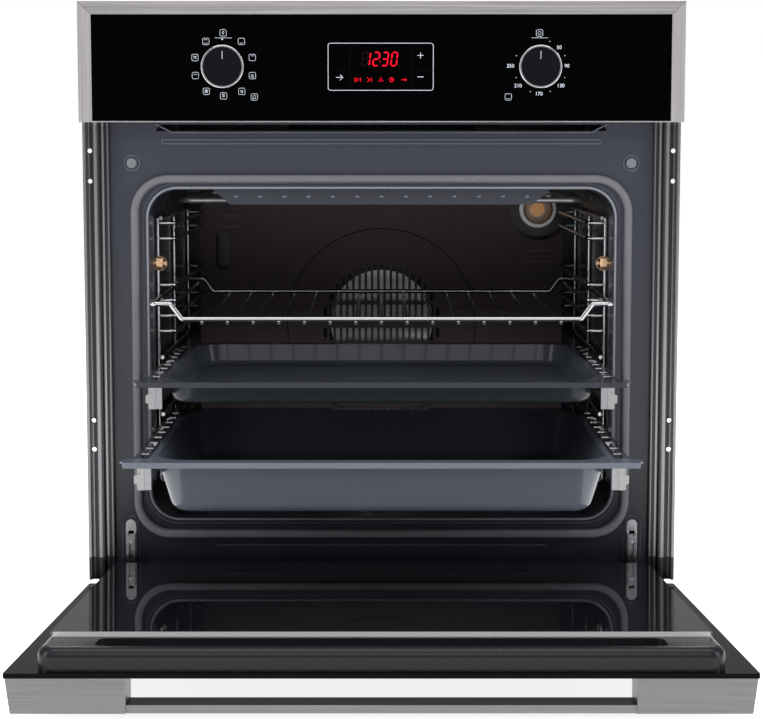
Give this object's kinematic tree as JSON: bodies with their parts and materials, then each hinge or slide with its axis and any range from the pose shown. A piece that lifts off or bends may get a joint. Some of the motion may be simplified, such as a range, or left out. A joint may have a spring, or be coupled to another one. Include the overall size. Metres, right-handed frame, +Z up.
{
  "type": "built-in oven",
  "caption": "Built-in electric oven with an open drop-down glass door, telescopic runners, baking tray, deep pan, wire shelf and knob control panel.",
  "frame": {"origin": "on the underside of the casing, in the middle of the width, below the side trims' front faces", "axes": "+X to the user's right, +Y into the oven, +Z up"},
  "size_m": [0.595, 1.0125, 0.595],
  "materials": {
    "galvanised": "matt zinc",
    "enamel_grey": "glossy enamel",
    "bright_trim": "bright",
    "grey_plastic": "matt",
    "grey_rubber": "matt",
    "enamel_dark": "glossy enamel",
    "gasket_rubber": "satin",
    "mineral_wool": "fibrous",
    "cover_enamel": "matt catalytic enamel",
    "heater_steel": "heat tinted",
    "bright_steel": "bright",
    "lamp_glass": "clear",
    "bulb_glass": "warm",
    "chromed_wire": "polished",
    "brass": "knurled",
    "brushed_steel": "brushed",
    "black_glass": "glossy back-painted",
    "black_plastic": "satin",
    "board_green": "matt",
    "door_grey": "satin",
    "clear_glass": "clear",
    "dark_glass": "glossy",
    "tray_enamel": "glossy enamel",
    "chrome_ring": "polished",
    "cast_housing": "cast"
  },
  "bodies": {
    "carcass": {"base_plate": "galvanised", "side_panels": "galvanised", "top_panel": "galvanised", "rear_panel": "galvanised", "front_frame": "enamel_grey", "side_trims": "bright_trim", "trim_bushes": "grey_plastic", "bumpers": "grey_rubber", "cavity_liner": "enamel_dark", "cavity_gasket": "gasket_rubber", "insulation_blanket": "mineral_wool", "fan_cover": "cover_enamel", "fan_motor": "galvanised", "ring_heater": "heater_steel", "grill_element": "heater_steel", "bottom_element": "heater_steel", "lamp_housing": "bright_steel", "lamp_glass": "lamp_glass", "lamp_bulb": "bulb_glass", "side_racks": "chromed_wire", "rack_nuts": "brass", "upper_rails": "bright_steel", "lower_rails": "bright_steel", "hinge_arms": "bright_steel", "hinge_receivers": "bright_steel", "panel_frame": "brushed_steel", "panel_glass": "black_glass", "panel_housing": "black_plastic", "display_module": "black_plastic", "control_board": "board_green", "switches": "black_plastic", "air_duct": "galvanised", "cooling_fan_housing": "cast_housing", "cooling_fan_motor": "galvanised", "terminal_block": "black_plastic"},
    "door": {"door_glass": "black_glass", "door_frame": "door_grey", "middle_glass": "clear_glass", "inner_glass": "dark_glass", "handle_ends": "brushed_steel", "handle_bar": "brushed_steel", "hinge_channels": "galvanised", "hinge_pins": "bright_steel"},
    "upper_middles": {"upper_middles": "bright_steel"},
    "lower_middles": {"lower_middles": "bright_steel"},
    "upper_carriers": {"upper_carriers": "bright_steel"},
    "lower_carriers": {"lower_carriers": "bright_steel"},
    "baking_tray": {"baking_tray": "tray_enamel"},
    "deep_pan": {"deep_pan": "tray_enamel"},
    "wire_shelf": {"wire_shelf": "chromed_wire"},
    "selector_stem": {"selector_stem": "black_plastic"},
    "selector_knob": {"selector_knob_cap": "black_plastic", "selector_knob_ring": "chrome_ring"},
    "temperature_stem": {"temperature_stem": "black_plastic"},
    "temperature_knob": {"temperature_knob_cap": "black_plastic", "temperature_knob_ring": "chrome_ring"},
    "fan_impeller": {"fan_impeller": "bright_steel"},
    "cooling_fan_rotor": {"cooling_fan_rotor": "galvanised"},
    "left_hinge_latch": {"left_hinge_latch": "bright_steel"},
    "right_hinge_latch": {"right_hinge_latch": "bright_steel"}
  },
  "joints": [
    {"name": "door_hinge", "type": "hinge", "parent": "carcass", "child": "door", "pos_m": [0, -0.012, 0.018], "axis": [1, 0, 0], "range_deg": [-86, 0]},
    {"name": "upper_middle_slide", "type": "slide", "parent": "carcass", "child": "upper_middles", "axis": [0, 1, 0], "range_m": [0, 0.1]},
    {"name": "upper_carrier_slide", "type": "slide", "parent": "carcass", "child": "upper_carriers", "axis": [0, 1, 0], "range_m": [0, 0.2]},
    {"name": "lower_middle_slide", "type": "slide", "parent": "carcass", "child": "lower_middles", "axis": [0, 1, 0], "range_m": [0, 0.147]},
    {"name": "lower_carrier_slide", "type": "slide", "parent": "carcass", "child": "lower_carriers", "axis": [0, 1, 0], "range_m": [0, 0.294]},
    {"name": "shelf_slide", "type": "slide", "parent": "carcass", "child": "wire_shelf", "axis": [0, 1, 0], "range_m": [0, 0.06]},
    {"name": "tray_lift", "type": "slide", "parent": "upper_carriers", "child": "baking_tray", "axis": [0, 0, 1], "range_m": [0, 0.012]},
    {"name": "pan_lift", "type": "slide", "parent": "lower_carriers", "child": "deep_pan", "axis": [0, 0, 1], "range_m": [0, 0.012]},
    {"name": "selector_pop_out", "type": "slide", "parent": "carcass", "child": "selector_stem", "axis": [0, -1, 0], "range_m": [0, 0.016]},
    {"name": "selector_turn", "type": "hinge", "parent": "selector_stem", "child": "selector_knob", "pos_m": [-0.1558, 0, 0.5315], "axis": [0, 1, 0], "continuous": true},
    {"name": "temperature_pop_out", "type": "slide", "parent": "carcass", "child": "temperature_stem", "axis": [0, -1, 0], "range_m": [0, 0.016]},
    {"name": "temperature_turn", "type": "hinge", "parent": "temperature_stem", "child": "temperature_knob", "pos_m": [0.1558, 0, 0.5315], "axis": [0, 1, 0], "range_deg": [0, 270]},
    {"name": "fan_spin", "type": "hinge", "parent": "carcass", "child": "fan_impeller", "pos_m": [0, 0.42, 0.242], "axis": [0, 1, 0], "continuous": true},
    {"name": "cooling_fan_spin", "type": "hinge", "parent": "carcass", "child": "cooling_fan_rotor", "pos_m": [0, 0.306, 0.496], "axis": [1, 0, 0], "continuous": true},
    {"name": "left_latch_flip", "type": "hinge", "parent": "carcass", "child": "left_hinge_latch", "pos_m": [-0.256, 0.009, 0.052], "axis": [1, 0, 0], "range_deg": [0, 100]},
    {"name": "right_latch_flip", "type": "hinge", "parent": "carcass", "child": "right_hinge_latch", "pos_m": [0.256, 0.009, 0.052], "axis": [1, 0, 0], "range_deg": [0, 100]}
  ],
  "couplings": [
    {"joint": "upper_middle_slide", "follows": "door_hinge", "m_per_rad": -0.0666},
    {"joint": "upper_carrier_slide", "follows": "door_hinge", "m_per_rad": -0.1332},
    {"joint": "lower_middle_slide", "follows": "door_hinge", "m_per_rad": -0.0979},
    {"joint": "lower_carrier_slide", "follows": "door_hinge", "m_per_rad": -0.1958},
    {"joint": "shelf_slide", "follows": "door_hinge", "m_per_rad": -0.0399}
  ]
}
